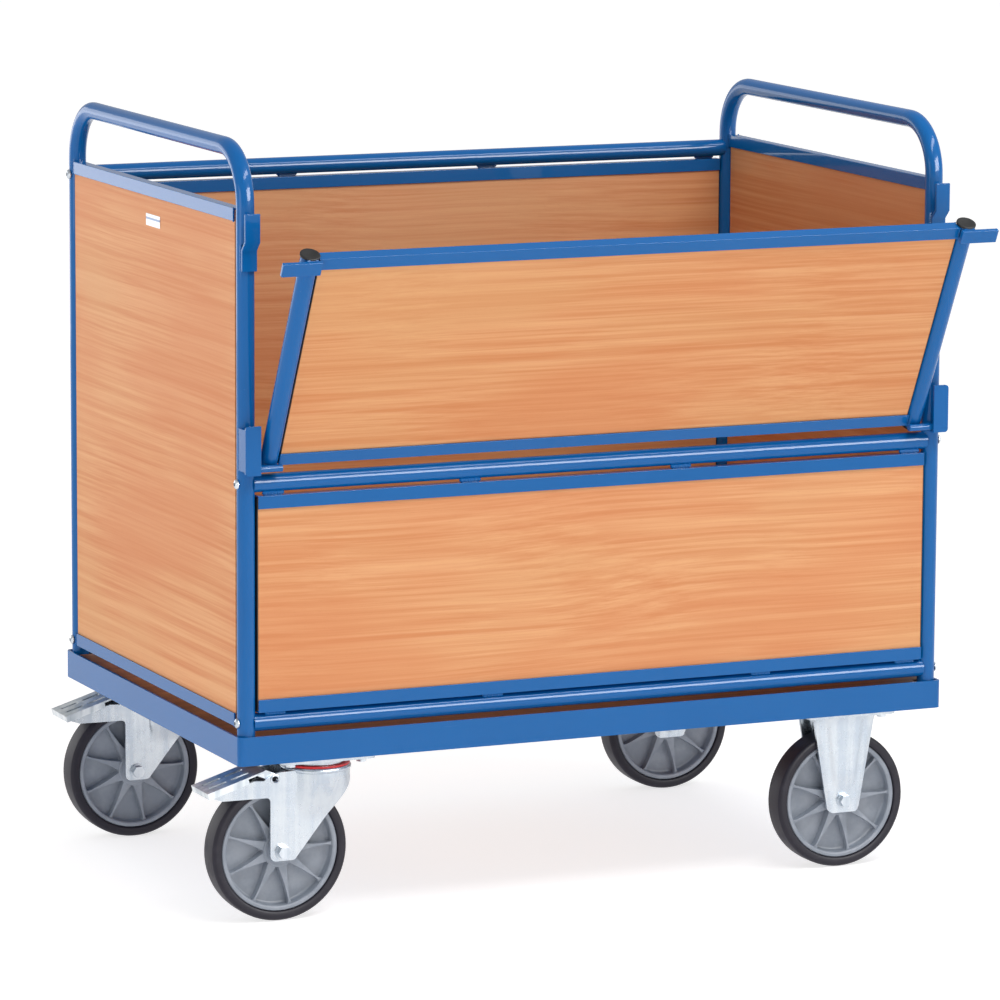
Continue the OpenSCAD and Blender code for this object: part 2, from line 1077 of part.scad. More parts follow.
module fixed_axle_front() {
    at_fixed_wheel(-1)
        axle_set();
}

module fixed_axle_back() {
    at_fixed_wheel(1)
        axle_set();
}

module fixed_wheel_front() {
    at_fixed_wheel(-1)
        wheel_centre();
}

module fixed_wheel_back() {
    at_fixed_wheel(1)
        wheel_centre();
}

module fixed_tyre_front() {
    at_fixed_wheel(-1)
        tyre();
}

module fixed_tyre_back() {
    at_fixed_wheel(1)
        tyre();
}

sill_front();
sill_back();
sill_left();
sill_right();
bearers();
deck();
hoop_left();
hoop_right();
end_rail_left_top();
end_rail_left_low();
end_rail_right_top();
end_rail_right_low();
end_board_left();
end_board_right();
back_tube();
back_rail();
back_board();
front_tube();
front_rail();
front_board();
low_tubes();
low_rails();
frame_bolts();
hooks();
brackets();
mount_bolts();
label();
flap_tube_left();
flap_tube_right();
flap_rail_top();
flap_rail_low();
flap_board();
flap_caps();
flap_lugs();
flap_pins();
plate_front();
fork_front();
ring_front();
pedal_front();
axle_front();
wheel_front();
tyre_front();
plate_back();
fork_back();
ring_back();
pedal_back();
axle_back();
wheel_back();
tyre_back();
fixed_fork_front();
fixed_axle_front();
fixed_wheel_front();
fixed_tyre_front();
fixed_fork_back();
fixed_axle_back();
fixed_wheel_back();
fixed_tyre_back();
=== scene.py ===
"""Box trolley: finishes, pressed castor forks, wheels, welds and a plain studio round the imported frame."""

import json
import logging
import math
from collections.abc import Callable, Iterable, Sequence
from dataclasses import dataclass, field
from enum import Enum
from typing import Any

import bmesh
import bpy
from mathutils import Matrix, Vector


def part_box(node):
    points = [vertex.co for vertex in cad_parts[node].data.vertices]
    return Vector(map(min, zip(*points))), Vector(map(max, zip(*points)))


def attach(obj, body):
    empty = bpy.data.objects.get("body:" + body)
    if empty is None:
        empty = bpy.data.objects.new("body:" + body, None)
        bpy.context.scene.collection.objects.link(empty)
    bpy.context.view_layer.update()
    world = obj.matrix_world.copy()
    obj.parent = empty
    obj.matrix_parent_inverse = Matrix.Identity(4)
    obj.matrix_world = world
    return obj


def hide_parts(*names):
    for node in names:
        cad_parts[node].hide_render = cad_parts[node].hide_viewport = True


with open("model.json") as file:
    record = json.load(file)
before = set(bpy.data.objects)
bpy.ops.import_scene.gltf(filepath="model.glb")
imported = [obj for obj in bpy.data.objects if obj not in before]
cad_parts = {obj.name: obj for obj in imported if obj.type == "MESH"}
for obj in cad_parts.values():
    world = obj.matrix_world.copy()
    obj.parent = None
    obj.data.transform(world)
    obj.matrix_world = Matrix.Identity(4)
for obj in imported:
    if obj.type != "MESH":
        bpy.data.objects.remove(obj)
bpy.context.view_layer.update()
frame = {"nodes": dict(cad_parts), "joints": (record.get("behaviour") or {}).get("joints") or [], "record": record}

LOG = logging.getLogger("box_trolley")
FULL_TURN = 2 * math.pi
SIDES = (-1, 1)
# Turns Z to -Y.
UPRIGHT = Matrix.Rotation(math.pi / 2, 4, "X")
# A piece's edges sharper than this are shaded as creases.
CREASE = math.radians(38)
# A CAD mesh's faces flatter than this to each other are joined before its edges are rounded.
FLAT = math.radians(0.5)
# How far the edges of channels and fittings, of straps and of wall boards are rounded.
FINE_EDGE = 0.0006
STRAP_EDGE = 0.0009
BOARD_EDGE = 0.0005
# The gap between a board and the black strip beside it; the strip fills the slit to paint the dark of its shade.
SHADE_STRIP_GAP = 0.0001
Colour = tuple[float, float, float, float]
Point = tuple[float, float]


class Grain(Enum):
    """The axis that a board's grain runs along."""

    ALONG_X = "x"
    ALONG_Y = "y"


class Slot(str, Enum):
    """The record's material slots."""

    PAINT = "blue_paint"
    DECK = "deck_board"
    WALL = "wall_board"
    BOLT = "zinc_bolt"
    PLATE = "zinc_plate"
    PEDAL = "pedal_chrome"
    SEAL = "red_seal"
    WHEEL = "wheel_grey"
    TYRE = "tyre_rubber"
    CAP = "cap_black"
    LABEL = "label_white"


# ---- shader maths ----


def tint(red: int, green: int, blue: int) -> Colour:
    """The linear colour, with an alpha of one, of a screen colour whose parts are 0 to 255."""
    linear = [((value / 255 + 0.055) / 1.055) ** 2.4 for value in (red, green, blue)]
    return (linear[0], linear[1], linear[2], 1.0)


class Wire:
    """A shader socket that takes part in arithmetic; each operation adds a Math node."""

    def __init__(self, tree: "Tree", socket: bpy.types.NodeSocket) -> None:
        """Wrap a socket of a tree."""
        self.tree = tree
        self.socket = socket

    def math(self, operation: str, first: Any, second: Any) -> "Wire":
        """Join two values, each a number or a Wire, with a Math node."""
        return self.tree.add("ShaderNodeMath", {"operation": operation}, {0: first, 1: second})

    def __add__(self, other: Any) -> "Wire":
        """Add."""
        return self.math("ADD", self, other)

    def __radd__(self, other: Any) -> "Wire":
        """Add, from the right."""
        return self.math("ADD", other, self)

    def __mul__(self, other: Any) -> "Wire":
        """Multiply."""
        return self.math("MULTIPLY", self, other)

class Tree:
    """One material's node tree, with a Principled shader at its end."""

    def __init__(self, name: str) -> None:
        """Start a material with this name."""
        self.material = bpy.data.materials.new(name)
        self.material.use_nodes = True
        self.nodes = self.material.node_tree.nodes
        self.links = self.material.node_tree.links
        self.nodes.clear()
        self.shader = self.nodes.new("ShaderNodeBsdfPrincipled")
        output = self.nodes.new("ShaderNodeOutputMaterial")
        self.links.new(self.shader.outputs[0], output.inputs[0])
        self.place = self.add("ShaderNodeTexCoord", output="Object")

    def feed(self, socket: bpy.types.NodeSocket, value: Any) -> None:
        """Set a socket to a plain value, or link a Wire to it."""
        if isinstance(value, Wire):
            self.links.new(value.socket, socket)
        else:
            socket.default_value = value

    def add(
        self,
        kind: str,
        settings: dict[str, Any] | None = None,
        sockets: dict[int | str, Any] | None = None,
        output: int | str = 0,
    ) -> Wire:
        """Add any node.

        Args:
            kind: The node's type.
            settings: Its properties, set first.
            sockets: Values or Wires for its inputs, by name or number.
            output: The output to return.

        Returns:
            The chosen output.
        """
        node = self.nodes.new(kind)
        for name, value in (settings or {}).items():
            setattr(node, name, value)
        for name, value in (sockets or {}).items():
            self.feed(node.inputs[name], value)
        return Wire(self, node.outputs[output])

    def mapped(self, scale: Sequence[float], centre: Sequence[float] = (0, 0, 0)) -> Wire:
        """Object coordinates with a centre as origin and a number of repeats per metre along each axis."""
        moved = [-c * s for c, s in zip(centre, scale)]
        sockets = {"Vector": self.place, "Location": moved, "Scale": scale}
        return self.add("ShaderNodeMapping", None, sockets)

    def noise(self, where: Wire, detail: float = 2.0, roughness: float = 0.5) -> Wire:
        """Noise from 0 to 1 at the scale of its coordinates."""
        sockets = {"Vector": where, "Scale": 1.0, "Detail": detail, "Roughness": roughness}
        return self.add("ShaderNodeTexNoise", None, sockets)

    def speckle(self, repeats: float, detail: float, roughness: float = 0.5) -> Wire:
        """Even noise from 0 to 1, given its repeats per metre."""
        return self.noise(self.mapped((repeats, repeats, repeats)), detail, roughness)

    def smooth(self, value: Wire, low: float, high: float) -> Wire:
        """A soft step from 0 to 1 as a value goes from low to high."""
        sockets = {"Value": value, "From Min": low, "From Max": high}
        return self.add("ShaderNodeMapRange", {"interpolation_type": "SMOOTHSTEP"}, sockets)

    def mix(self, share: Any, first: Any, second: Any) -> Wire:
        """Mix two colours, given the second one's share."""
        return self.add("ShaderNodeMix", {"data_type": "RGBA"}, {0: share, 6: first, 7: second}, 2)

    def vector(self, operation: str, *values: Any, output: str = "Vector") -> Wire:
        """A Vector Math node's result, given its operation and its values in order."""
        sockets = dict(enumerate(values))
        return self.add("ShaderNodeVectorMath", {"operation": operation}, sockets, output)

    def bump(self, height: Wire, distance: float, strength: float) -> Wire:
        """A normal from a height, whose full travel is distance in metres."""
        sockets = {"Height": height, "Distance": distance, "Strength": strength}
        return self.add("ShaderNodeBump", None, sockets)

    def finish(self, **sockets: Any) -> bpy.types.Material:
        """Feed the shader's inputs, named with an underscore for each space, and return the material."""
        for name, value in sockets.items():
            self.feed(self.shader.inputs[name.replace("_", " ")], value)
        return self.material


# ---- finishes ----


@dataclass(frozen=True)
class PowderCoat:
    """Glossy blue powder coat with orange peel, faint cloudiness and a few hairline scuffs."""

    colour: Colour = tint(6, 100, 171)
    deep: Colour = tint(4, 93, 161)
    scuff: Colour = tint(84, 136, 188)

    def build(self) -> bpy.types.Material:
        """Build the material."""
        tree = Tree("blue_powder_coat")
        cloud = tree.speckle(6, 3)
        peel = tree.speckle(420, 1)
        marks = tree.noise(tree.mapped((9, 130, 420), (0.3, 0.1, 0.2)), 3, 0.7)
        scuffed = tree.smooth(marks, 0.72, 0.8) * 0.35
        paint = tree.mix(cloud, self.deep, self.colour)
        return tree.finish(
            Base_Color=tree.mix(scuffed, paint, self.scuff),
            Roughness=0.22 + cloud * 0.07 + scuffed * 0.5,
            Normal=tree.bump(peel, 0.00003, 0.35),
            Specular_IOR_Level=0.1,
            Coat_Weight=0.42,
            Coat_Roughness=0.03,
        )


@dataclass(frozen=True)
class BeechFoil:
    """A wall board's beech face: long streaks, fine fibres, short flecks and warm and olive drifts."""

    grain: Grain
    start: float
    sweep: float = 12.0
    light: Colour = tint(228, 168, 118)
    dark: Colour = tint(210, 135, 84)
    orange: Colour = tint(214, 134, 86)
    olive: Colour = tint(220, 165, 113)
    fleck: Colour = tint(170, 102, 62)

    def along(self, length: float, across: float) -> tuple[float, float, float]:
        """Stretch factors with one value along the grain and another across it."""
        if self.grain is Grain.ALONG_X:
            return (length, across, across)
        return (across, length, across)

    def build(self) -> bpy.types.Material:
        """Build the material."""
        tree = Tree(f"beech_{self.grain.value}_{round(self.start * 10)}")
        centre = (self.start, self.start * 0.7, self.start * 1.3)
        sway = tree.noise(tree.mapped(self.along(1.1, 2.2), centre), 2)
        across = self.along(0, 1)
        sways = tree.add("ShaderNodeCombineXYZ", None, {0: sway, 1: sway, 2: sway})
        long_grain = tree.mapped(self.along(1.9, 190), centre)
        bent = tree.vector("MULTIPLY_ADD", sways, [self.sweep * a for a in across], long_grain)
        streak = tree.noise(bent, 4, 0.6)
        band = tree.noise(tree.vector("MULTIPLY", bent, (0.3, 0.3, 0.3)))
        fibre = tree.noise(tree.vector("MULTIPLY", bent, self.along(5, 6)))
        dash = tree.smooth(tree.noise(tree.mapped(self.along(130, 1500), centre), 1), 0.68, 0.76)
        drift = tree.noise(tree.mapped(self.along(2.2, 5), (self.start + 3, 1, 2)), 2)
        tone = tree.smooth(streak * 0.65 + band * 0.35, 0.32, 0.68)
        wood = tree.mix(tone, self.light, self.dark)
        wood = tree.mix(tree.smooth(drift, 0.48, 0.68) * 0.5, wood, self.orange)
        wood = tree.mix(tree.smooth(drift, 0.52, 0.32) * 0.5, wood, self.olive)
        wood = tree.mix(tree.smooth(fibre, 0.42, 0.7) * 0.2, wood, self.dark)
        return tree.finish(
            Base_Color=tree.mix(dash * 0.16, wood, self.fleck),
            Roughness=0.48 + streak * 0.12,
            Normal=tree.bump(fibre, 0.00005, 0.4),
            Specular_IOR_Level=0.2,
        )


@dataclass(frozen=True)
class DeckPly:
    """The brown, lightly worn deck board with long grain and rubbed tracks."""

    light: Colour = tint(156, 98, 60)
    dark: Colour = tint(92, 54, 32)
    rubbed: Colour = tint(184, 130, 88)

    def build(self) -> bpy.types.Material:
        """Build the material."""
        tree = Tree("deck_ply")
        sway = tree.noise(tree.mapped((1.5, 5, 5)), 2)
        grain = tree.noise(tree.mapped((1.2, 70, 70)), 6, 0.65)
        pores = tree.noise(tree.mapped((60, 900, 900)), 1)
        worn = tree.smooth(tree.noise(tree.mapped((3, 9, 9), (1, 2, 3)), 4, 0.6), 0.55, 0.75)
        wood = tree.mix(tree.smooth(grain + sway * 0.3, 0.4, 0.95), self.light, self.dark)
        wood = tree.mix(tree.smooth(pores, 0.6, 0.75) * 0.35, wood, self.dark)
        return tree.finish(
            Base_Color=tree.mix(worn * 0.3, wood, self.rubbed),
            Roughness=0.45 + worn * 0.2,
            Normal=tree.bump(grain, 0.00012, 0.6),
        )


@dataclass(frozen=True)
class BrightZinc:
    """Zinc-plated sheet and bolts: pale mottling, rolled streaks and a faint blue cast."""

    name: str = "bright_zinc"
    pale: Colour = tint(201, 208, 214)
    blue: Colour = tint(181, 191, 202)
    gloss: float = 0.2

    def build(self) -> bpy.types.Material:
        """Build the material."""
        tree = Tree(self.name)
        mottle = tree.speckle(90, 3, 0.6)
        rolled = tree.noise(tree.mapped((70, 70, 4)), 3, 0.55)
        smear = tree.noise(tree.mapped((14, 14, 30), (2, 1, 0)), 3)
        tone = rolled * 0.6 + smear * 0.3 + mottle * 0.1
        return tree.finish(
            Base_Color=tree.mix(tree.smooth(tone, 0.38, 0.64), self.pale, self.blue),
            Metallic=0.92,
            Roughness=self.gloss + mottle * 0.06 + rolled * 0.08,
            Normal=tree.bump(rolled * 0.7 + mottle * 0.3, 0.00006, 0.25),
        )


@dataclass(frozen=True)
class WheelNylon:
    """Grey moulded nylon of a wheel centre, with flow marks and a fine texture."""

    colour: Colour = tint(134, 142, 154)
    pale: Colour = tint(152, 159, 170)

    def build(self) -> bpy.types.Material:
        """Build the material."""
        tree = Tree("wheel_nylon")
        flow = tree.speckle(30, 4, 0.6)
        skin = tree.speckle(900, 1)
        return tree.finish(
            Base_Color=tree.mix(tree.smooth(flow, 0.35, 0.7), self.colour, self.pale),
            Roughness=0.42 + flow * 0.12,
            Normal=tree.bump(skin, 0.00004, 0.5),
        )


@dataclass(frozen=True)
class TyreRubber:
    """Grey-black tread rubber: fine rings turned about the axle and dusty patches on the tread."""

    centre: tuple[float, float, float]
    colour: Colour = tint(38, 36, 46)
    dust: Colour = tint(66, 63, 73)

    def build(self) -> bpy.types.Material:
        """Build the material."""
        tree = Tree(f"tyre_rubber_{round(self.centre[0] * 10)}_{round(self.centre[1] * 10)}")
        flat = tree.mapped((1, 0, 1), self.centre)
        reach = tree.vector("LENGTH", flat, output="Value")
        rings = tree.add("ShaderNodeMath", {"operation": "SINE"}, {0: reach * 5200.0})
        dusty = tree.smooth(tree.speckle(45, 5, 0.65), 0.5, 0.75)
        grit = tree.speckle(700, 2)
        return tree.finish(
            Base_Color=tree.mix(dusty * 0.3, self.colour, self.dust),
            Roughness=0.44 + dusty * 0.2 + grit * 0.08,
            Normal=tree.bump(grit + rings * 0.12, 0.00006, 0.5),
            Specular_IOR_Level=0.25,
        )


@dataclass(frozen=True)
class MouldedPlastic:
    """A small moulded part in one plastic: light grain and slightly uneven gloss."""

    name: str
    colour: Colour
    pale: Colour
    gloss: float = 0.42

    def build(self) -> bpy.types.Material:
        """Build the material."""
        tree = Tree(self.name)
        cloud = tree.speckle(60, 3)
        skin = tree.speckle(1300, 2)
        return tree.finish(
            Base_Color=tree.mix(cloud * 0.6, self.colour, self.pale),
            Roughness=self.gloss + cloud * 0.15,
            Normal=tree.bump(skin, 0.00005, 0.6),
        )


@dataclass(frozen=True)
class LabelFilm:
    """A white film label with a plain blue bar, and no lettering."""

    low: float
    high: float
    white: Colour = tint(244, 246, 248)
    bar: Colour = tint(70, 120, 180)

    def build(self) -> bpy.types.Material:
        """Build the material."""
        tree = Tree("label_film")
        height = tree.add("ShaderNodeSeparateXYZ", None, {0: tree.place}, "Z")
        tall = self.high - self.low
        above = tree.smooth(height, self.low + 0.52 * tall, self.low + 0.54 * tall)
        below = tree.smooth(height, self.low + 0.72 * tall, self.low + 0.7 * tall)
        speck = tree.speckle(500, 2)
        return tree.finish(
            Base_Color=tree.mix(above * below * 0.85, self.white, self.bar),
            Roughness=0.28 + speck * 0.1,
        )


PAINT = PowderCoat()
ZINC = BrightZinc()
BOLT_ZINC = BrightZinc("bolt_zinc", tint(214, 220, 226), tint(176, 186, 196), 0.24)
PEDAL_CHROME = BrightZinc("pedal_chrome", tint(222, 228, 232), tint(176, 186, 194), 0.26)
NYLON = WheelNylon()
BLACK_CAP = MouldedPlastic("black_cap", tint(11, 11, 12), tint(22, 22, 23), 0.5)
# Black strips in the slits beside the boards are painted shade: they stand in for the dark of the shaded gaps.
SHADE_STRIP_BLACK = MouldedPlastic("black_shade_strip", tint(18, 17, 17), tint(30, 28, 27), 0.5)
RED_SEAL = MouldedPlastic("red_seal", tint(214, 22, 30), tint(235, 40, 44), 0.34)


# ---- the bench: from a bmesh to a piece on the frame ----


def mesh_of(name: str, shape: bmesh.types.BMesh) -> bpy.types.Mesh:
    """Turn a shape, which is used up, into a mesh."""
    mesh = bpy.data.meshes.new(name)
    shape.to_mesh(mesh)
    shape.free()
    return mesh


def linked(name: str, data: bpy.types.ID) -> bpy.types.Object:
    """Put a new object in the scene."""
    made = bpy.data.objects.new(name, data)
    bpy.context.scene.collection.objects.link(made)
    return made


def joint_at(name: str) -> Vector:
    """Where a joint of the frame stands."""
    return Vector(next(joint for joint in frame["joints"] if joint["name"] == name)["pos_m"])


class Bench:
    """Turns shapes into pieces that ride on the frame, and gives them their finish."""

    def __init__(self) -> None:
        """Start with no materials and learn which body each node rides on."""
        self.materials: dict[Any, bpy.types.Material] = {}
        bodies = frame["record"]["behaviour"]["bodies"]
        self.body_of = {node: body for body, nodes in bodies.items() for node in nodes}

    def material(self, finish: Any) -> bpy.types.Material:
        """The material of a finish, built once."""
        if finish not in self.materials:
            self.materials[finish] = finish.build()
        return self.materials[finish]

    def paint(self, node: str, finish: Any) -> None:
        """Give a CAD node its finish."""
        mesh = frame["nodes"][node].data
        mesh.materials.clear()
        mesh.materials.append(self.material(finish))
        LOG.info("%s: CAD shape, %s", node, self.material(finish).name)

    def piece(
        self,
        name: str,
        shape: bmesh.types.BMesh,
        body: str,
        finish: Any,
        stands_for: Iterable[str] = (),
    ) -> bpy.types.Object:
        """Make a piece from a shape and let it ride.

        Args:
            name: The piece's name.
            shape: The shape, in place, which is used up.
            body: The body it rides on.
            finish: Its finish.
            stands_for: CAD nodes that it replaces.

        Returns:
            The new object.
        """
        mesh = mesh_of(name, shape)
        mesh.shade_smooth()
        mesh.set_sharp_from_angle(angle=CREASE)
        mesh.materials.append(self.material(finish))
        made = linked(name, mesh)
        weighted = made.modifiers.new("even_normals", "WEIGHTED_NORMAL")
        weighted.keep_sharp = True
        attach(made, body)
        nodes = list(stands_for)
        if nodes:
            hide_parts(*nodes)
        LOG.info("%s: %d faces on %s", name, len(mesh.polygons), body)
        return made

    def softened(self, node: str, name: str, radius: float, finish: Any) -> None:
        """Replace a CAD node with a copy whose sharp edges are rounded.

        Args:
            node: The CAD node.
            name: The new piece's name.
            radius: How far each edge is rounded, in metres.
            finish: Its finish.
        """
        shape = bmesh.new()
        shape.from_mesh(frame["nodes"][node].data)
        bmesh.ops.remove_doubles(shape, verts=shape.verts, dist=0.00001)
        bmesh.ops.dissolve_limit(shape, angle_limit=FLAT, verts=shape.verts, edges=shape.edges)
        round_edges(shape, radius)
        self.piece(name, shape, self.body_of[node], finish, [node])


def bevel(shape: bmesh.types.BMesh, edges: list[bmesh.types.BMEdge], radius: float, segments: int) -> None:
    """Round some edges of a shape."""
    bmesh.ops.bevel(shape, geom=edges, offset=radius, offset_type="OFFSET", segments=segments,
                    profile=0.5, affect="EDGES", clamp_overlap=True, material=-1)


def round_edges(shape: bmesh.types.BMesh, radius: float, sharp: float = 50.0) -> None:
    """Round the edges of a shape that are sharper than an angle in degrees."""
    crisp = [
        edge for edge in shape.edges
        if len(edge.link_faces) == 2 and edge.calc_face_angle(0.0) > math.radians(sharp)
    ]
    bevel(shape, crisp, radius, 2)


def block(size: Sequence[float]) -> bmesh.types.BMesh:
    """A plain block about the origin, given its size along X, Y and Z."""
    part = bmesh.new()
    bmesh.ops.create_cube(part, size=1.0)
    bmesh.ops.scale(part, vec=size, verts=part.verts)
    return part


def new_verts(result: dict[str, Any]) -> list[bmesh.types.BMVert]:
    """The vertices among what a bmesh operator made."""
    return [item for item in result["geom"] if isinstance(item, bmesh.types.BMVert)]


def turned(shape: bmesh.types.BMesh, profile: Sequence[Point], place: Matrix, steps: int = 64) -> None:
    """Spin an outline of radius and height about Z and set it in place.

    Args:
        shape: The shape that the turned form is added to.
        profile: Points of radius and height, from one end of the outline to the other.
        place: Where the form's own Z axis goes.
        steps: Facets round the form.
    """
    part = bmesh.new()
    corners = [part.verts.new((radius, 0, height)) for radius, height in profile]
    line = [part.edges.new(pair) for pair in zip(corners, corners[1:])]
    bmesh.ops.spin(part, geom=corners + line, cent=(0, 0, 0), axis=(0, 0, 1),
                   angle=FULL_TURN, steps=steps, use_merge=True)
    bmesh.ops.remove_doubles(part, verts=part.verts, dist=0.000005)
    bmesh.ops.recalc_face_normals(part, faces=part.faces)
    merge_in(shape, part, place)


def merge_in(shape: bmesh.types.BMesh, part: bmesh.types.BMesh, place: Matrix) -> None:
    """Move a part into place and add it to a shape; the part is used up."""
    bmesh.ops.transform(part, matrix=place, verts=part.verts)
    scratch = mesh_of("scratch", part)
    shape.from_mesh(scratch)
    bpy.data.meshes.remove(scratch)


def both_halves(side: list[Point]) -> list[Point]:
    """An outline of radius and height from its upper half, which ends on the line of no height."""
    return side + [(radius, -height) for radius, height in reversed(side[:-1])]


def arc(centre: Point, radius: float, start: float, end: float, steps: int = 6) -> list[Point]:
    """Points along an arc, from one angle in degrees to another."""
    angles = [math.radians(start + (end - start) * i / steps) for i in range(steps + 1)]
    return [(centre[0] + radius * math.cos(a), centre[1] + radius * math.sin(a)) for a in angles]


def ease(value: float, low: float, high: float) -> float:
    """A soft step from 0 to 1 as a value goes from low to high."""
    share = min(1.0, max(0.0, (value - low) / (high - low)))
    return share * share * (3 - 2 * share)


def pressed_sheet(
    outline: Sequence[Point],
    holes: Sequence[tuple[float, float, float]],
    cuts: tuple[Sequence[float], Sequence[float]],
    lift: Callable[[float, float], float],
    thickness: float,
) -> bmesh.types.BMesh:
    """Press a flat blank in X and Z to a depth along -Y and give it its thickness.

    Args:
        outline: The blank's outline.
        holes: Round holes, each with its X, Z and radius.
        cuts: The X places and Z places where the blank may bend.
        lift: The depth of the outer face at an X and Z.
        thickness: The sheet's thickness.

    Returns:
        The closed sheet, with its edges rounded.
    """
    sheet = bmesh.new()
    corners = [sheet.verts.new((x, 0, z)) for x, z in outline]
    for pair in zip(corners, corners[1:] + corners[:1]):
        sheet.edges.new(pair)
    for x, z, radius in holes:
        ring = Matrix.Translation((x, 0, z)) @ UPRIGHT
        bmesh.ops.create_circle(sheet, cap_ends=False, segments=32, radius=radius, matrix=ring)
    bmesh.ops.triangle_fill(sheet, use_beauty=True, use_dissolve=False, edges=sheet.edges[:])
    for axis, places in (((1, 0, 0), cuts[0]), ((0, 0, 1), cuts[1])):
        for place in places:
            geometry = sheet.verts[:] + sheet.edges[:] + sheet.faces[:]
            bmesh.ops.bisect_plane(sheet, geom=geometry, dist=0.00002,
                                   plane_co=[place * a for a in axis], plane_no=axis)
    raised = bmesh.ops.extrude_face_region(sheet, geom=sheet.faces[:], use_keep_orig=True)
    bmesh.ops.translate(sheet, vec=(0, thickness, 0), verts=new_verts(raised))
    for vert in sheet.verts:
        vert.co.y -= lift(vert.co.x, vert.co.z)
    bmesh.ops.recalc_face_normals(sheet, faces=sheet.faces)
    round_edges(sheet, thickness * 0.18, 70)
    return sheet


def mirrored(shape: bmesh.types.BMesh) -> None:
    """Add the mirror image of a shape across its own XZ plane."""
    copied = bmesh.ops.duplicate(shape, geom=shape.verts[:] + shape.edges[:] + shape.faces[:])
    faces = [item for item in copied["geom"] if isinstance(item, bmesh.types.BMFace)]
    bmesh.ops.scale(shape, vec=(1, -1, 1), verts=new_verts(copied))
    bmesh.ops.reverse_faces(shape, faces=faces)


# ---- welds ----


@dataclass
class Welds:
    """Rippled weld beads, gathered into one shape for a body."""

    size: float = 0.0021
    pitch: float = 0.0019
    swell: float = 0.12
    beat: float = 2.4
    shape: bmesh.types.BMesh = field(default_factory=bmesh.new)

    def ripple(self, at: Vector, size: float) -> None:
        """Add one ripple of a bead."""
        bmesh.ops.create_icosphere(self.shape, subdivisions=1, radius=size,
                                   matrix=Matrix.Translation(at))

    def line(self, start: Vector, end: Vector, size: float | None = None) -> None:
        """Run a bead from one point to another, with a radius other than the usual one if given."""
        steps = max(1, round((end - start).length / self.pitch))
        for i in range(steps + 1):
            swell = 1 + self.swell * math.sin(i * self.beat)
            self.ripple(start.lerp(end, i / steps), (size or self.size) * swell)

    def ring(self, centre: Vector, radius: float) -> None:
        """Run a bead round an upright tube."""
        steps = round(FULL_TURN * radius / self.pitch)
        for i in range(steps):
            turn = Vector((math.cos(FULL_TURN * i / steps), math.sin(FULL_TURN * i / steps), 0))
            self.ripple(centre + radius * turn, self.size)


# ---- the trolley ----


@dataclass
class Platform:
    """The rim of angle steel, its bearers and the deck board."""

    edge: float = 0.0012
    board_edge: float = 0.0008
    bolt_edge: float = 0.0005

    def build(self, bench: Bench) -> None:
        """Round the rim and the deck, and finish them."""
        for side in ("front", "back", "left", "right"):
            bench.softened(f"sill_{side}", f"rim_{side}", self.edge, PAINT)
        bench.softened("bearers", "deck_bearers", self.edge, PAINT)
        bench.softened("deck", "deck_panel", self.board_edge, DeckPly())
        bench.softened("mount_bolts", "castor_bolts", self.bolt_edge, BOLT_ZINC)


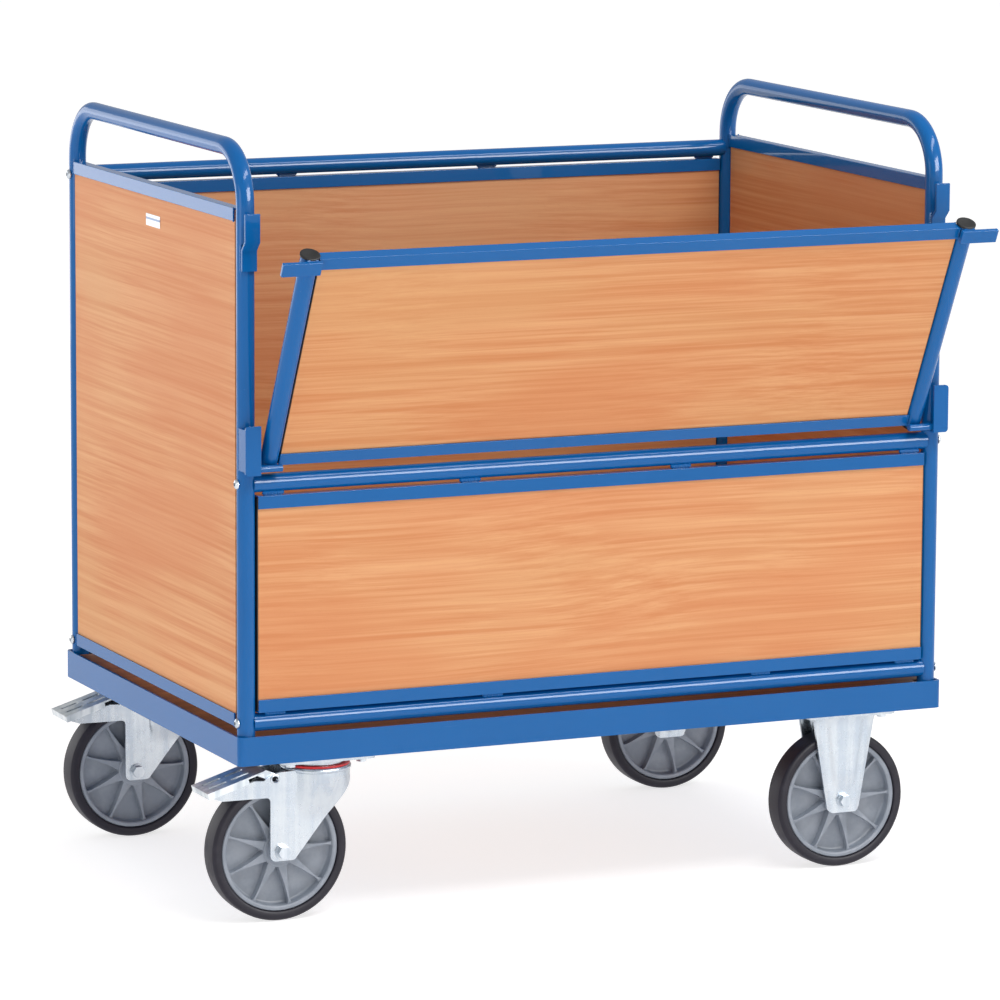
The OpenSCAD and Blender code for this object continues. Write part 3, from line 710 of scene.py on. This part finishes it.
@dataclass
class HoopFrame:
    """The two tube hoops with their wall tubes, channels, hooks, pockets, bolts and welds."""

    stitch: float = 0.026
    bead_in: float = 0.0046
    high_drop: float = 0.0004
    low_rise: float = 0.0002
    high_bead: float = 0.0034
    low_bead: float = 0.0028
    rail_bead: float = 0.0013
    high_stitches: tuple[float, ...] = (-0.955, -0.383, 0.248, 0.955)
    low_stitches: tuple[float, ...] = (-0.95, -0.313, 0.5, 0.95)
    button: float = 0.007
    seat: float = 0.0008
    shank: float = 0.034
    shank_radius: float = 0.004

    def build(self, bench: Bench) -> None:
        """Finish the frame's steel and add its bolts and welds."""
        for node in ("hoop_left", "hoop_right", "back_tube", "front_tube", "low_tubes"):
            bench.paint(node, PAINT)
        rails = [f"end_rail_{side}_{level}" for side in ("left", "right") for level in ("top", "low")]
        for node in rails + ["back_rail", "front_rail", "low_rails"]:
            bench.softened(node, f"{node}_channel", FINE_EDGE, PAINT)
        bench.softened("hooks", "flap_hooks", STRAP_EDGE, PAINT)
        bench.softened("brackets", "pin_pockets", STRAP_EDGE, PAINT)
        self.buttons(bench)
        self.welds(bench, rails)

    def buttons(self, bench: Bench) -> None:
        """Dome the heads of the bolts that go through the posts."""
        shape = bmesh.new()
        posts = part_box("hoop_left"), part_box("hoop_right")
        radius = self.tube_radius()
        crown = self.button * 0.62
        shank = [(0, -self.shank), (self.shank_radius, -self.shank), (self.shank_radius, 0), (self.button, 0)]
        dome = [(self.button * math.cos(a), self.seat + (crown - self.seat) * math.sin(a))
                for a in (math.radians(12 * i) for i in range(6))]
        socket = [(0.0026, crown * 0.94), (0.0026, crown * 0.35), (0, crown * 0.35)]
        for side, (low, high) in zip(SIDES, posts):
            outer = low.x if side < 0 else high.x
            face = Matrix.Rotation(side * math.pi / 2, 4, "Y")
            for tube, ends in (("front_tube", (-1,)), ("back_tube", (1,)), ("low_tubes", SIDES)):
                tube_low, tube_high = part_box(tube)
                height = (tube_low.z + tube_high.z) / 2
                for end in ends:
                    across = high.y - radius if end > 0 else low.y + radius
                    place = Matrix.Translation((outer, across, height)) @ face
                    turned(shape, shank + dome + socket, place, 40)
        bench.piece("post_bolts", shape, "frame", BOLT_ZINC, ["frame_bolts"])

    def tube_radius(self) -> float:
        """The radius of the round tubes."""
        low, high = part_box("front_tube")
        return (high.z - low.z) / 2

    def welds(self, bench: Bench, rails: Sequence[str]) -> None:
        """Lay the frame's weld beads, given the end rails' node names."""
        beads = Welds()
        radius = self.tube_radius()
        for side, wall in zip(SIDES, ("front", "back")):
            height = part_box(f"{wall}_tube")[0].z - self.high_drop
            self.stitches(beads, f"{wall}_rail", side, height, self.high_stitches, self.high_bead)
        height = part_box("low_tubes")[1].z + self.low_rise
        for side in SIDES:
            self.stitches(beads, "low_rails", side, height, self.low_stitches, self.low_bead)
        for rail in rails:
            low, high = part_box(rail)
            for x in (low.x, high.x):
                for y in (low.y, high.y):
                    beads.line(Vector((x, y, low.z)), Vector((x, y, high.z)), self.rail_bead)
        self.strap_welds(beads, radius)
        hoop_low, hoop_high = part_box("hoop_left")
        for x in (hoop_low.x + radius, -hoop_low.x - radius):
            for y in (hoop_low.y + radius, hoop_high.y - radius):
                beads.ring(Vector((x, y, hoop_low.z + 0.0006)), radius + 0.0008)
        bench.piece("frame_welds", beads.shape, "frame", PAINT)

    def stitches(
        self, beads: Welds, rail: str, side: int, height: float, shares: Sequence[float], size: float
    ) -> None:
        """Lay short beads along a wall's rail.

        Args:
            beads: The beads that these join.
            rail: The rail's node.
            side: -1 for the front wall and 1 for the back one.
            height: The beads' height.
            shares: The beads' middles, as shares of the rail's half length.
            size: Their radius.
        """
        low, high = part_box(rail)
        across = (low.y if side < 0 else high.y) - side * self.bead_in
        half = self.stitch / 2
        for share in shares:
            ends = [Vector((share * high.x + reach, across, height)) for reach in (-half, half)]
            beads.line(*ends, size)

    def strap_welds(self, beads: Welds, radius: float) -> None:
        """Weld the hooks and the pin pockets to the front posts."""
        post_low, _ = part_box("hoop_left")
        post_x = -post_low.x - radius
        post_y = post_low.y + radius
        hook_low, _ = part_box("hooks")
        pocket_low, pocket_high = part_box("brackets")
        for side in SIDES:
            for edge in SIDES:
                foot = Vector((side * post_x + edge * 0.0098, post_y - 0.0098, hook_low.z + 0.001))
                beads.line(foot, foot + Vector((0, 0, 0.034)), 0.0022)
            seam = Vector((side * (post_x + 0.0119), post_y - 0.0042, pocket_low.z + 0.007))
            beads.line(seam, seam + Vector((0, 0, pocket_high.z - pocket_low.z - 0.014)), 0.0015)


@dataclass
class WallBoards:
    """The fixed boards of the box, black strips that paint the shade in the slits beside them, and the label."""

    strip: float = 0.0014

    def build(self, bench: Bench) -> None:
        """Finish the boards and add black strips beside the front and back boards, which paint the shade in those
        slits.
        """
        grains = {
            "front_board": BeechFoil(Grain.ALONG_X, 0.4), "back_board": BeechFoil(Grain.ALONG_X, 2.1),
            "end_board_left": BeechFoil(Grain.ALONG_Y, 5.3, 5.0),
            "end_board_right": BeechFoil(Grain.ALONG_Y, 7.9, 5.0),
        }
        for node, finish in grains.items():
            bench.softened(node, f"{node}_panel", BOARD_EDGE, finish)
        for node in ("front_board", "back_board"):
            low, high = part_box(node)
            shape = bmesh.new()
            inset = self.strip / 2 + SHADE_STRIP_GAP
            for x in (low.x - inset, high.x + inset):
                size = (self.strip, high.y - low.y - 0.001, high.z - low.z)
                strip_between(shape, Vector((x, (low.y + high.y) / 2, (low.z + high.z) / 2)), size)
            # These black strips are painted shade in the slits at the board's two ends.
            bench.piece(f"{node}_edging", shape, "frame", SHADE_STRIP_BLACK)
        low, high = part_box("label")
        bench.softened("label", "label_film", 0.0002, LabelFilm(low.z, high.z))


def strip_between(shape: bmesh.types.BMesh, centre: Vector, size: Sequence[float]) -> None:
    """Add a strip with rounded edges, given its centre and its size along X, Y and Z."""
    part = block(size)
    round_edges(part, min(size) * 0.3)
    merge_in(shape, part, Matrix.Translation(centre))


@dataclass
class Flap:
    """The tilting upper front: tubes, channels, board, caps, lugs, pins and welds, in its own frame."""

    lean: float = math.radians(26.7)
    cap_depth: float = 0.003
    bore: float = 0.0104
    strip: float = 0.0011
    bead: float = 0.0019

    def __post_init__(self) -> None:
        """Find the pin axis, the flap's own frame and its sizes."""
        self.place = Matrix.Translation(joint_at("flap_tilt")) @ Matrix.Rotation(self.lean, 4, "X")
        tube_low, tube_high = self.local_box("flap_tube_right")
        self.radius = (tube_high.x - tube_low.x) / 2
        self.axis = (tube_low + tube_high) / 2
        self.low, self.high = tube_low.z, tube_high.z

    def local_box(self, node: str) -> tuple[Vector, Vector]:
        """A node's lowest and highest corners in the flap's own frame."""
        upright = self.place.inverted()
        points = [upright @ vert.co for vert in frame["nodes"][node].data.vertices]
        low = Vector([min(point[i] for point in points) for i in range(3)])
        return low, Vector([max(point[i] for point in points) for i in range(3)])

    def build(self, bench: Bench) -> None:
        """Finish the flap and add its caps, its black strips of painted shade and its welds."""
        for node in ("flap_tube_left", "flap_tube_right"):
            bench.paint(node, PAINT)
        for node in ("flap_rail_top", "flap_rail_low"):
            bench.softened(node, f"{node}_channel", FINE_EDGE, PAINT)
        bench.softened("flap_lugs", "flap_top_lugs", STRAP_EDGE, PAINT)
        bench.softened("flap_pins", "pivot_pins", FINE_EDGE, PAINT)
        beech = BeechFoil(Grain.ALONG_X, 3.7)
        bench.softened("flap_board", "flap_board_panel", BOARD_EDGE, beech)
        self.caps(bench)
        self.shade_strips(bench)
        self.welds(bench)

    def caps(self, bench: Bench) -> None:
        """Turn the four plugs, each with a dished face, a rounded flange and a ribbed stem."""
        shape = bmesh.new()
        flange = self.radius + 0.0015
        face = self.cap_depth
        outline = [(0, face * 0.62), (flange * 0.55, face * 0.66), (flange * 0.68, face * 0.98)]
        outline += arc((flange - 0.0012, face - 0.0012), 0.0012, 90, 0) + [(flange, 0), (self.bore, 0)]
        for rib in range(3):
            depth = -0.0025 - 0.003 * rib
            outline += [(self.bore - 0.0008, depth), (self.bore, depth - 0.0012), (self.bore, depth - 0.002)]
        outline += [(self.bore - 0.001, -0.0115), (0, -0.0115)]
        for side in SIDES:
            for height, flip in ((self.high, 0.0), (self.low, math.pi)):
                spot = Matrix.Translation((side * self.axis.x, self.axis.y, height))
                turned(shape, outline, self.place @ spot @ Matrix.Rotation(flip, 4, "X"), 48)
        bench.piece("flap_end_caps", shape, "flap", BLACK_CAP, ["flap_caps"])

    def shade_strips(self, bench: Bench) -> None:
        """Fill the slits between the board and the side tubes with black strips that paint the shade of those
        gaps.
        """
        low, high = self.local_box("flap_board")
        shape = bmesh.new()
        for side in SIDES:
            part = bmesh.new()
            out = side * (high.x + self.strip / 2 + SHADE_STRIP_GAP)
            centre = Vector((out, self.axis.y, (low.z + high.z) / 2))
            strip_between(part, centre, (self.strip, high.y - low.y - 0.001, high.z - low.z))
            merge_in(shape, part, self.place)
        bench.piece("flap_board_shade_strips", shape, "flap", SHADE_STRIP_BLACK)

    def welds(self, bench: Bench) -> None:
        """Weld the lugs and the channels to the side tubes."""
        beads = Welds()
        lug_low, lug_high = self.local_box("flap_lugs")
        for side in SIDES:
            for height in (lug_low.z, lug_high.z):
                middle = Vector((side * self.axis.x, lug_high.y - 0.0004, height))
                reach = Vector((0.007, 0, 0))
                beads.line(middle - reach, middle + reach, self.bead)
            for rail in ("flap_rail_top", "flap_rail_low"):
                low, high = self.local_box(rail)
                for across in (low.y, high.y):
                    foot = Vector((side * high.x, across, low.z + 0.001))
                    beads.line(foot, Vector((foot.x, across, high.z - 0.001)), self.bead * 0.75)
        part = beads.shape
        bmesh.ops.transform(part, matrix=self.place, verts=part.verts)
        bench.piece("flap_welds", part, "flap", PAINT)


@dataclass
class Wheel:
    """A castor wheel: a ribbed nylon centre and a moulded tyre, turned about the axle."""

    tyre: str
    centre: str
    spin: str
    spokes: int = 9
    band_share: float = 0.86
    well_share: float = 0.79
    hub_share: float = 0.24
    web: float = 0.003
    bore: float = 0.0061
    lip_in: float = 0.0025
    rib_depth: float = 0.0035
    first_rib: float = math.radians(-2)

    def __post_init__(self) -> None:
        """Take the wheel's place and size from its joint and its tyre."""
        self.axle = joint_at(self.spin)
        low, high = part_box(self.tyre)
        self.radius = (high.z - low.z) / 2
        self.half = (high.y - low.y) / 2
        hub_low, hub_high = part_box(self.centre)
        self.hub_half = (hub_high.y - hub_low.y) / 2
        self.place = Matrix.Translation(self.axle) @ Matrix.Rotation(-math.pi / 2, 4, "X")

    def build(self, bench: Bench) -> None:
        """Make the tyre and the centre."""
        body = bench.body_of[self.tyre]
        shape = bmesh.new()
        turned(shape, self.tyre_outline(), self.place, 144)
        bench.piece(f"{self.tyre}_tread", shape, body, TyreRubber(tuple(self.axle)), [self.tyre])
        bench.piece(f"{self.centre}_centre", self.centre_shape(), body, NYLON, [self.centre])

    def tyre_outline(self) -> list[Point]:
        """Half the tyre's section mirrored: lip, flank, rounded shoulder and a slightly crowned tread."""
        inner = self.radius * self.band_share
        shoulder = (self.radius - inner) * 0.46
        half = self.half
        side = [(inner + 0.0002, 0.0), (inner + 0.0002, half - 0.0022), (inner + 0.0012, half - 0.0009),
                (inner + 0.0028, half - 0.0003), (inner + 0.0052, half)]
        side += arc((self.radius - 0.0003 - shoulder, half - shoulder), shoulder, 84, 12, 8)
        side += [(self.radius, half * 0.35), (self.radius, 0.0)]
        return both_halves(side)

    def centre_shape(self) -> bmesh.types.BMesh:
        """Turn the dished centre and set the ribs on both of its faces."""
        shape = bmesh.new()
        band = self.radius * self.band_share
        well = self.radius * self.well_share
        hub = self.radius * self.hub_share
        bore = self.bore
        lip = self.half - self.lip_in
        side = [(bore, 0.0), (bore, self.hub_half - 0.0006), (bore + 0.0006, self.hub_half),
                (hub * 0.72, self.hub_half), (hub * 0.76, self.hub_half - 0.0012),
                (hub * 0.78, lip), (hub - 0.001, lip), (hub, lip - 0.001), (hub + 0.0006, self.web + 0.003)]
        side += arc((hub + 0.0036, self.web + 0.003), 0.003, 180, 270, 4)
        side += arc((well - 0.0045, self.web + 0.004), 0.004, 270, 345, 5)
        side += [(well, lip - 0.0016), (well + 0.0012, lip - 0.0004), (well + 0.0024, lip)]
        side += [(band - 0.0014, lip), (band - 0.0003, lip - 0.001), (band, lip - 0.0024), (band, 0.0)]
        outline = both_halves(side)
        turned(shape, outline + [outline[0]], self.place, 108)
        for face in SIDES:
            for i in range(self.spokes):
                turn = Matrix.Rotation(FULL_TURN * i / self.spokes + self.first_rib, 4, "Z")
                flip = Matrix.Rotation(0 if face > 0 else math.pi, 4, "X")
                merge_in(shape, self.rib(hub, well, lip), self.place @ turn @ flip)
        return shape

    def rib(self, hub: float, well: float, lip: float) -> bmesh.types.BMesh:
        """One rib along X: wide at the hub, drawn in along its length and flared where it meets the band.

        Args:
            hub: The hub's radius.
            well: The inner radius of the band.
            lip: The height of the band's face above the wheel's middle.

        Returns:
            The rib, lying along X with its top facing +Z.
        """
        rib = bmesh.new()
        steps = 12
        start, end = hub - 0.002, well + 0.0012
        edge = []
        for i in range(steps + 1):
            share = i / steps
            half = 0.0014 + 0.0066 * (1 - share) ** 2.2 + 0.0034 * max(0.0, (share - 0.86) / 0.14) ** 2
            edge.append((start + (end - start) * share, half))
        outline = edge + [(x, -y) for x, y in reversed(edge)]
        face = rib.faces.new([rib.verts.new((x, y, self.web - 0.0005)) for x, y in outline])
        raised = bmesh.ops.extrude_face_region(rib, geom=[face])
        top = new_verts(raised)
        bmesh.ops.translate(rib, vec=(0, 0, lip - self.rib_depth - self.web), verts=top)
        for vert in top:
            rise = 0.0022 * (1 - (vert.co.x - start) / (end - start))
            vert.co.z += rise
            vert.co.y *= 0.86
        bmesh.ops.recalc_face_normals(rib, faces=rib.faces)
        round_edges(rib, 0.0004, 60)
        return rib


@dataclass
class SwivelCastor:
    """A braked swivel castor: turned cup, pressed fork, seal, plate, pedal and axle."""

    end: str
    trail: float = 0.060
    leg_out: float = 0.028
    sheet: float = 0.004
    head: float = 0.048
    king: float = 0.0082
    pedal_back: float = 0.011
    pedal_drop: float = 0.0135
    eyelet: float = 0.0044

    def __post_init__(self) -> None:
        """Take the swivel axis and the fork's height from the frame."""
        self.axis = joint_at(f"swivel_left_{self.end}")
        self.axis.z = 0
        low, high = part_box(f"fork_{self.end}")
        self.foot, self.crown = low.z, high.z
        self.tip = low.x - self.axis.x

    def outline(self) -> list[Point]:
        """The fork side's blank: crown, sloping front, rounded foot, leg, arm and back."""
        crown, foot, trail = self.crown, self.foot, self.trail
        corner = 0.008
        arm = crown - 0.039
        leg = -trail - 0.018
        points = [(self.head * 0.999, crown - 0.004), (self.head * 0.999, crown - 0.017)]
        points += arc((-trail + 0.014, foot + corner), corner, -26, -90)
        points += arc((leg + corner, foot + corner), corner, -90, -180)
        points += arc((leg - 0.006, arm - 0.006), 0.006, 0, 90)
        points += [(-trail - 0.089, arm + 0.0005), (self.tip + 0.0006, arm + 0.0055)]
        points += [(-trail - 0.042, arm + 0.025)]
        points += arc((-trail + 0.004, crown - 0.056), 0.052, 128, 97, 5)
        points += [(-self.head * 0.7, crown - 0.0035)]
        return points

    def depth(self, x: float, z: float) -> float:
        """How far the fork's outer face stands from its middle plane: flat legs, round head, closed nose."""
        round_head = math.sqrt(max(0.0, self.head**2 - x**2))
        if x < 0:
            round_head = max(round_head, self.leg_out)
        rise = ease(z, self.crown - 0.075, self.crown - 0.01)
        return self.leg_out + (round_head - self.leg_out) * rise

    def fork(self) -> bmesh.types.BMesh:
        """Press both fork sides, turn the cup above them and add the pedal's eyelets."""
        bends = [self.head * math.sin(math.radians(6 * i)) for i in range(-14, 15)]
        bends += [-0.05 - 0.012 * i for i in range(8)]
        levels = [self.crown - 0.005 * i for i in range(1, 24)]
        eye = (-self.trail - self.pedal_back, self.crown - self.pedal_drop, self.eyelet)
        shape = pressed_sheet(self.outline(), [eye], (bends, levels), self.depth, self.sheet)
        ring = Matrix.Translation((eye[0], -self.leg_out, eye[1])) @ UPRIGHT
        eyelet = [(self.eyelet, -self.sheet - 0.0027), (0.0056, -self.sheet - 0.0027), (0.0056, 0.0)]
        eyelet += [(0.0070, 0.0), (0.0072, 0.0005), (0.0066, 0.001), (0.0052, 0.0012), (self.eyelet, 0.0006)]
        turned(shape, eyelet + eyelet[:1], ring, 40)
        mirrored(shape)
        lip = self.head + 0.002
        cup = [(self.king, self.crown), (lip - 0.004, self.crown)]
        cup += arc((lip - 0.004, self.crown - 0.004), 0.004, 84, -60, 8)
        cup += [(self.head - 0.004, self.crown - 0.0075), (self.head - 0.006, self.crown - 0.005),
                (self.king, self.crown - 0.005)]
        turned(shape, cup + cup[:1], Matrix.Identity(4), 96)
        bmesh.ops.translate(shape, vec=self.axis, verts=shape.verts)
        return shape

    def build(self, bench: Bench) -> None:
        """Make the fork and finish the castor's other pieces."""
        end = self.end
        body = f"fork_left_{end}"
        bench.piece(f"swivel_fork_{end}", self.fork(), body, ZINC, [f"fork_{end}"])
        for node, name, finish, slot in (
            ("plate", "swivel_plate", ZINC, Slot.PLATE), ("ring", "seal_ring", RED_SEAL, Slot.SEAL),
            ("pedal", "brake_pedal", PEDAL_CHROME, Slot.PEDAL), ("axle", "axle_bolt", BOLT_ZINC, Slot.BOLT),
        ):
            bench.softened(f"{node}_{end}", f"{name}_{end}", FINE_EDGE, finish)


@dataclass
class FixedCastor:
    """A fixed castor: top plate and two pressed legs with a raised, tapering panel."""

    end: str
    leg_out: float = 0.028
    sheet: float = 0.004
    top_half: float = 0.050
    foot_half: float = 0.026
    raise_by: float = 0.0032
    turn_in: float = 0.0024
    plate: float = 0.005
    corner: float = 0.010

    def __post_init__(self) -> None:
        """Take the castor's place from its axle and its fork."""
        self.axle = joint_at(f"spin_right_{self.end}")
        low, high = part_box(f"fixed_fork_{self.end}")
        self.foot, self.top = low.z, high.z
        self.half_x, self.half_y = (high.x - low.x) / 2, (high.y - low.y) / 2

    def half_width(self, z: float) -> float:
        """Half the leg's width at a height."""
        share = (z - self.foot - 0.01) / (self.top - self.plate - self.foot - 0.01)
        return self.foot_half + (self.top_half - self.foot_half) * max(0.0, share)

    def depth(self, x: float, z: float) -> float:
        """The outer face: a raised panel in the middle, and edges turned in towards the wheel."""
        panel = 0.013 + (z - self.axle.z) * 0.12
        raised = ease(panel + 0.003 - abs(x), 0.0, 0.005) * ease(z, self.axle.z + 0.012, self.axle.z + 0.04)
        near_edge = ease(abs(x), self.half_width(z) - 0.007, self.half_width(z))
        flare = ease(z, self.top - 0.016, self.top - 0.004)
        return self.leg_out + self.raise_by * raised - self.turn_in * near_edge * (1 - flare) + 0.003 * flare

    def legs(self) -> bmesh.types.BMesh:
        """Press the two legs."""
        corner = self.corner
        seat = self.top - self.plate + 0.0004
        outline = [(-self.top_half, seat), (self.top_half, seat)]
        outline += arc((self.foot_half - corner, self.foot + corner), corner, -18, -90)
        outline += arc((corner - self.foot_half, self.foot + corner), corner, -90, -162)
        bends = [0.0025 * i for i in range(-19, 20)]
        levels = [self.foot + 0.006 * i for i in range(1, 24)]
        shape = pressed_sheet(outline, [], (bends, levels), self.depth, self.sheet)
        mirrored(shape)
        bmesh.ops.translate(shape, vec=(self.axle.x, self.axle.y, 0), verts=shape.verts)
        return shape

    def build(self, bench: Bench) -> None:
        """Make the legs and the plate, and finish the axle."""
        end = self.end
        shape = self.legs()
        part = block((2 * self.half_x, 2 * self.half_y, self.plate))
        upright = [e for e in part.edges if abs(e.verts[0].co.z - e.verts[1].co.z) > self.plate / 2]
        bevel(part, upright, self.corner, 6)
        round_edges(part, FINE_EDGE)
        merge_in(shape, part, Matrix.Translation((self.axle.x, self.axle.y, self.top - self.plate / 2)))
        bench.piece(f"fixed_fork_{end}_pressed", shape, "frame", ZINC, [f"fixed_fork_{end}"])
        bench.softened(f"fixed_axle_{end}", f"fixed_axle_bolt_{end}", FINE_EDGE, BOLT_ZINC)


# ---- studio ----


@dataclass
class Studio:
    """A pale floor, soft lights and the camera."""

    eye: tuple[float, float, float] = (-3.36494, -7.57581, 1.88512)
    yaw: float = 0.4181
    pitch: float = -0.1638
    roll: float = 0.0053
    focal: float = 208.5
    floor_half: float = 40.0

    def build(self) -> None:
        """Set up the world, the floor, the lights and the camera."""
        self.world()
        self.floor()
        self.light("overhead", (0.7, -1.7, 3.0), (0, -0.2, 0.5), (3.4, 0.42), 54.0)
        self.light("left", (-3.6, -0.6, 1.1), (0, 0, 0.5), (1.6, 1.2), 12.0)
        self.light("behind", (-2.4, 4.4, 1.0), (-0.4, 0, 0.5), (3.0, 1.8), 32.0)
        # Only glossy reflections show this light, which streaks the round tubes.
        gloss = self.light("gloss", (1.6, -3.8, 2.0), (0, -0.3, 0.6), (3.6, 1.5), 300.0)
        gloss.visible_diffuse = False
        self.camera()

    def world(self) -> None:
        """A plain white surround."""
        world = bpy.data.worlds.new("surround")
        world.use_nodes = True
        background = world.node_tree.nodes["Background"]
        background.inputs["Color"].default_value = (1.0, 1.0, 1.0, 1.0)
        background.inputs["Strength"].default_value = 0.54
        bpy.context.scene.world = world
        bpy.context.scene.view_settings.view_transform = "Standard"

    def floor(self) -> None:
        """A wide, pale, faintly uneven floor under the wheels."""
        shape = bmesh.new()
        bmesh.ops.create_grid(shape, x_segments=1, y_segments=1, size=self.floor_half)
        mesh = mesh_of("floor", shape)
        tree = Tree("studio_floor")
        cloud = tree.speckle(2, 2)
        mesh.materials.append(tree.finish(
            Base_Color=tree.mix(cloud, (0.58, 0.575, 0.575, 1), (0.62, 0.61, 0.61, 1)), Roughness=0.8,
            Specular_IOR_Level=0.1, Emission_Color=(1.0, 1.0, 1.0, 1.0), Emission_Strength=0.7))
        floor = linked("floor", mesh)

    def light(
        self, name: str, at: Sequence[float], aim: Sequence[float], size: Point, power: float
    ) -> bpy.types.Object:
        """Hang a soft rectangular light.

        Args:
            name: Its name.
            at: Where it hangs.
            aim: The point it faces.
            size: Its width and height.
            power: Its power in watts.

        Returns:
            The light.
        """
        lamp = bpy.data.lights.new(name, "AREA")
        lamp.shape = "RECTANGLE"
        lamp.size, lamp.size_y = size
        lamp.energy = power
        made = linked(name, lamp)
        made.location = at
        made.rotation_euler = (Vector(aim) - Vector(at)).to_track_quat("-Z", "Y").to_euler()
        return made

    def camera(self) -> None:
        """Stand the camera where it looks along its yaw and pitch, turned by its roll."""
        ahead = Vector((math.sin(self.yaw) * math.cos(self.pitch),
                        math.cos(self.yaw) * math.cos(self.pitch), math.sin(self.pitch)))
        level = Vector((math.cos(self.yaw), -math.sin(self.yaw), 0))
        above = level.cross(ahead)
        right = math.cos(self.roll) * level + math.sin(self.roll) * above
        up = math.cos(self.roll) * above - math.sin(self.roll) * level
        lens = bpy.data.cameras.new("camera")
        lens.lens = self.focal
        lens.sensor_width = 36.0
        lens.clip_end = 200.0
        made = linked("camera", lens)
        turn = Matrix((right, up, -ahead)).transposed().to_4x4()
        made.matrix_world = Matrix.Translation(self.eye) @ turn
        bpy.context.scene.camera = made


def main() -> None:
    """Build the studio and the trolley's looks."""
    logging.basicConfig(level=logging.INFO, format="%(message)s")
    bench = Bench()
    Studio().build()
    Platform().build(bench)
    HoopFrame().build(bench)
    WallBoards().build(bench)
    Flap().build(bench)
    for end in ("front", "back"):
        SwivelCastor(end).build(bench)
        FixedCastor(end).build(bench)
        Wheel(f"tyre_{end}", f"wheel_{end}", f"spin_left_{end}").build(bench)
        Wheel(f"fixed_tyre_{end}", f"fixed_wheel_{end}", f"spin_right_{end}").build(bench)


if __name__ == "__main__":
    main()
